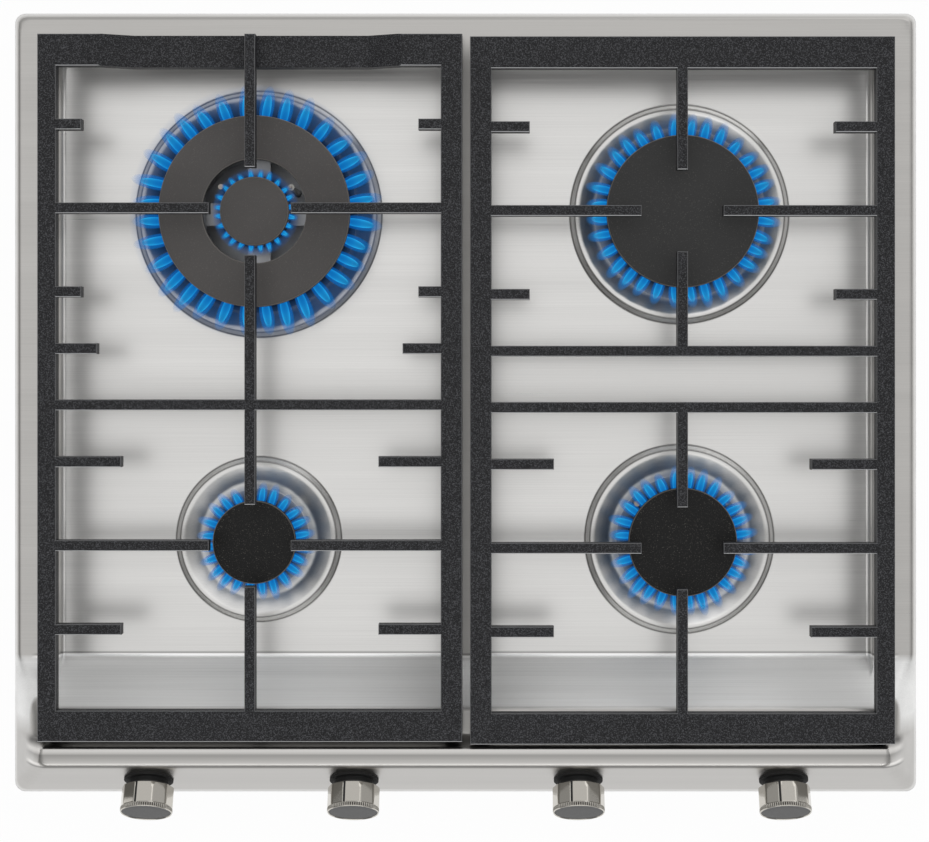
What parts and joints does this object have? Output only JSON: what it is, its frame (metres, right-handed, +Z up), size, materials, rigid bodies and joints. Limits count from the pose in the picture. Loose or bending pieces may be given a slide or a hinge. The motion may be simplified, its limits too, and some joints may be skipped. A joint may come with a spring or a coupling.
{
  "type": "gas cooktop",
  "caption": "Built-in stainless steel gas cooktop with cast-iron grates, burners and a sloped front with push-and-turn knobs.",
  "frame": {"origin": "centre of the top plate's outline, on the plane of the worktop it rests on", "axes": "+X right along the front, +Y to the back, +Z up"},
  "size_m": [0.6, 0.5326, 0.125],
  "materials": {
    "stainless": "brushed",
    "zinc_steel": "satin",
    "gas_steel": "satin",
    "foam": "matt",
    "brass": "satin",
    "bright_steel": "polished",
    "cast_aluminium": "cast",
    "black_enamel": "satin",
    "black_plastic": "matt",
    "white_ceramic": "glazed",
    "rubber": "matt",
    "enamelled_iron": "matt",
    "nickel_plating": "polished"
  },
  "bodies": {
    "hob_body": {"top_plate": "stainless", "bottom_case": "zinc_steel", "rim_seal": "foam", "hold_down_clamps": "zinc_steel", "clamp_screws": "zinc_steel", "gas_rail": "gas_steel", "rail_brackets": "zinc_steel", "gas_inlet": "gas_steel", "valve_1": "brass", "valve_2": "brass", "valve_3": "brass", "valve_4": "brass", "wok_ring_pipe": "cast_aluminium", "wok_core_pipe": "cast_aluminium", "rapid_pipe": "cast_aluminium", "semi_pipe": "cast_aluminium", "small_pipe": "cast_aluminium", "ignition_unit": "black_plastic", "ignition_switches": "black_plastic", "terminal_block": "black_plastic", "cord_gland": "black_plastic", "wok_burner_cup": "cast_aluminium", "rapid_burner_cup": "cast_aluminium", "semi_burner_cup": "cast_aluminium", "small_burner_cup": "cast_aluminium", "injectors": "brass", "spark_plugs": "white_ceramic", "spark_tips": "bright_steel", "flame_probes": "bright_steel", "knob_seals": "rubber"},
    "left_grate": {"grate_left": "enamelled_iron", "grate_left_feet": "rubber"},
    "right_grate": {"grate_right": "enamelled_iron", "grate_right_feet": "rubber"},
    "push_1": {"push_collar_1": "bright_steel"},
    "knob_body_1": {"knob_1": "nickel_plating", "knob_core_1": "black_plastic", "spindle_1": "bright_steel"},
    "push_2": {"push_collar_2": "bright_steel"},
    "knob_body_2": {"knob_2": "nickel_plating", "knob_core_2": "black_plastic", "spindle_2": "bright_steel"},
    "push_3": {"push_collar_3": "bright_steel"},
    "knob_body_3": {"knob_3": "nickel_plating", "knob_core_3": "black_plastic", "spindle_3": "bright_steel"},
    "push_4": {"push_collar_4": "bright_steel"},
    "knob_body_4": {"knob_4": "nickel_plating", "knob_core_4": "black_plastic", "spindle_4": "bright_steel"},
    "wok_ring_crown_body": {"wok_ring_flame_crown": "cast_aluminium"},
    "wok_ring_cap_body": {"wok_ring_cap": "black_enamel"},
    "wok_core_crown_body": {"wok_core_flame_crown": "cast_aluminium"},
    "wok_core_cap_body": {"wok_core_cap": "black_enamel"},
    "rapid_crown_body": {"rapid_flame_crown": "cast_aluminium"},
    "rapid_cap_body": {"rapid_burner_cap": "black_enamel"},
    "semi_crown_body": {"semi_flame_crown": "cast_aluminium"},
    "semi_cap_body": {"semi_burner_cap": "black_enamel"},
    "small_crown_body": {"small_flame_crown": "cast_aluminium"},
    "small_cap_body": {"small_burner_cap": "black_enamel"}
  },
  "joints": [
    {"name": "left_grate_lift", "type": "slide", "parent": "hob_body", "child": "left_grate", "axis": [0, 0, 1], "range_m": [0, 0.06]},
    {"name": "right_grate_lift", "type": "slide", "parent": "hob_body", "child": "right_grate", "axis": [0, 0, 1], "range_m": [0, 0.06]},
    {"name": "knob_1_push", "type": "slide", "parent": "hob_body", "child": "push_1", "axis": [0, 0.8813, -0.4726], "range_m": [0, 0.003], "stiffness_N_per_m": 2500, "springref_m": -0.002},
    {"name": "knob_1_turn", "type": "hinge", "parent": "push_1", "child": "knob_body_1", "pos_m": [-0.2068, -0.24613, 0.024], "axis": [0, -0.8813, 0.4726], "range_deg": [0, 210]},
    {"name": "knob_2_push", "type": "slide", "parent": "hob_body", "child": "push_2", "axis": [0, 0.8813, -0.4726], "range_m": [0, 0.003], "stiffness_N_per_m": 2500, "springref_m": -0.002},
    {"name": "knob_2_turn", "type": "hinge", "parent": "push_2", "child": "knob_body_2", "pos_m": [-0.0725, -0.24613, 0.024], "axis": [0, -0.8813, 0.4726], "range_deg": [0, 210]},
    {"name": "knob_3_push", "type": "slide", "parent": "hob_body", "child": "push_3", "axis": [0, 0.8813, -0.4726], "range_m": [0, 0.003], "stiffness_N_per_m": 2500, "springref_m": -0.002},
    {"name": "knob_3_turn", "type": "hinge", "parent": "push_3", "child": "knob_body_3", "pos_m": [0.0741, -0.24613, 0.024], "axis": [0, -0.8813, 0.4726], "range_deg": [0, 210]},
    {"name": "knob_4_push", "type": "slide", "parent": "hob_body", "child": "push_4", "axis": [0, 0.8813, -0.4726], "range_m": [0, 0.003], "stiffness_N_per_m": 2500, "springref_m": -0.002},
    {"name": "knob_4_turn", "type": "hinge", "parent": "push_4", "child": "knob_body_4", "pos_m": [0.2084, -0.24613, 0.024], "axis": [0, -0.8813, 0.4726], "range_deg": [0, 210]},
    {"name": "wok_ring_crown_lift", "type": "slide", "parent": "hob_body", "child": "wok_ring_crown_body", "axis": [0, 0, 1], "range_m": [0, 0.01]},
    {"name": "wok_ring_cap_lift", "type": "slide", "parent": "wok_ring_crown_body", "child": "wok_ring_cap_body", "axis": [0, 0, 1], "range_m": [0, 0.005]},
    {"name": "wok_core_crown_lift", "type": "slide", "parent": "hob_body", "child": "wok_core_crown_body", "axis": [0, 0, 1], "range_m": [0, 0.01]},
    {"name": "wok_core_cap_lift", "type": "slide", "parent": "wok_core_crown_body", "child": "wok_core_cap_body", "axis": [0, 0, 1], "range_m": [0, 0.005]},
    {"name": "rapid_crown_lift", "type": "slide", "parent": "hob_body", "child": "rapid_crown_body", "axis": [0, 0, 1], "range_m": [0, 0.01]},
    {"name": "rapid_cap_lift", "type": "slide", "parent": "rapid_crown_body", "child": "rapid_cap_body", "axis": [0, 0, 1], "range_m": [0, 0.005]},
    {"name": "semi_crown_lift", "type": "slide", "parent": "hob_body", "child": "semi_crown_body", "axis": [0, 0, 1], "range_m": [0, 0.01]},
    {"name": "semi_cap_lift", "type": "slide", "parent": "semi_crown_body", "child": "semi_cap_body", "axis": [0, 0, 1], "range_m": [0, 0.005]},
    {"name": "small_crown_lift", "type": "slide", "parent": "hob_body", "child": "small_crown_body", "axis": [0, 0, 1], "range_m": [0, 0.01]},
    {"name": "small_cap_lift", "type": "slide", "parent": "small_crown_body", "child": "small_cap_body", "axis": [0, 0, 1], "range_m": [0, 0.005]}
  ]
}
